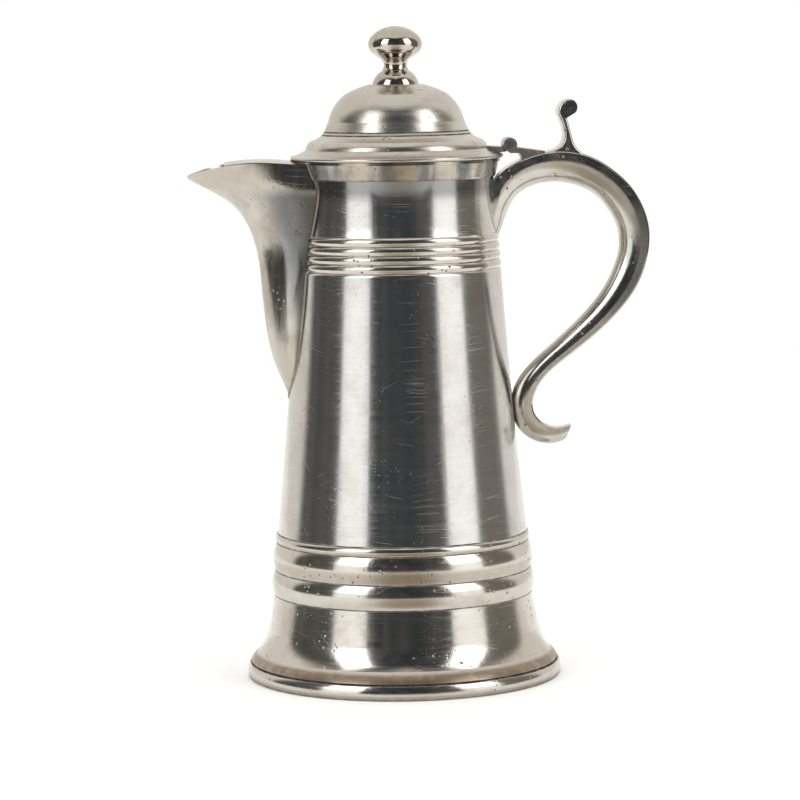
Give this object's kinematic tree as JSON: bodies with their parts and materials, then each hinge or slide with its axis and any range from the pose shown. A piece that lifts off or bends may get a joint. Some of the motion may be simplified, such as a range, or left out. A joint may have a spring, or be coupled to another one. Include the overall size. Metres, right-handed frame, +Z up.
{
  "type": "lidded pewter flagon",
  "caption": "Tall tapered pewter flagon with a flared foot, reeded neck, open-topped pouring spout, hollow scroll handle and a hinged domed lid with a turned knob and thumb rest.",
  "frame": {"origin": "centre of the ring that the foot stands on, on the vessel's axis", "axes": "+Z up along the vessel's axis; -X towards the spout's tip, +X towards the handle; Y across, parallel to the lid's hinge"},
  "size_m": [0.2347, 0.1614, 0.3323],
  "materials": {
    "body_pewter": "burnished pewter, fine scratches, faint grey patina",
    "turned_pewter": "polished on the lathe, dark dirt in the grooves",
    "lid_pewter": "polished on the lathe, lightly worn",
    "knob_pewter": "bright turned pewter, handled smooth",
    "cast_pewter": "cast and scraped pewter, satin, small dents",
    "handle_pewter": "cast pewter, satin and warm, pitted in the hollows",
    "hinge_pewter": "cast pewter, filed flat, dull grey",
    "inside_pewter": "dull grey oxidised pewter",
    "solder": "scraped solder, dark in the corner",
    "pin_metal": "darkened wire, worn end"
  },
  "bodies": {
    "flagon": {"foot_rim": "turned_pewter", "foot": "turned_pewter", "lower_base_reed": "turned_pewter", "upper_base_reed": "turned_pewter", "drum_foot_bead": "turned_pewter", "bottom_disc": "inside_pewter", "drum": "body_pewter", "neck": "body_pewter", "neck_reeding": "turned_pewter", "mouth_band": "turned_pewter", "spout_far_half": "cast_pewter", "spout_near_half": "cast_pewter", "spout_cover_plate": "cast_pewter", "spout_flange": "solder", "handle_far_half": "handle_pewter", "handle_near_half": "handle_pewter", "thumb_rest": "handle_pewter", "hinge_bracket": "hinge_pewter", "hinge_pin": "pin_metal"},
    "lid": {"lid_rim": "lid_pewter", "lid_dome": "lid_pewter", "lid_bezel": "inside_pewter", "hinge_leaf": "hinge_pewter", "knob": "knob_pewter", "knob_collar": "knob_pewter", "knob_stud": "inside_pewter"}
  },
  "joints": [
    {"name": "lid_hinge", "type": "hinge", "parent": "flagon", "child": "lid", "pos_m": [0.0574, 0, 0.2715], "axis": [0, 1, 0], "range_deg": [0, 95]}
  ]
}
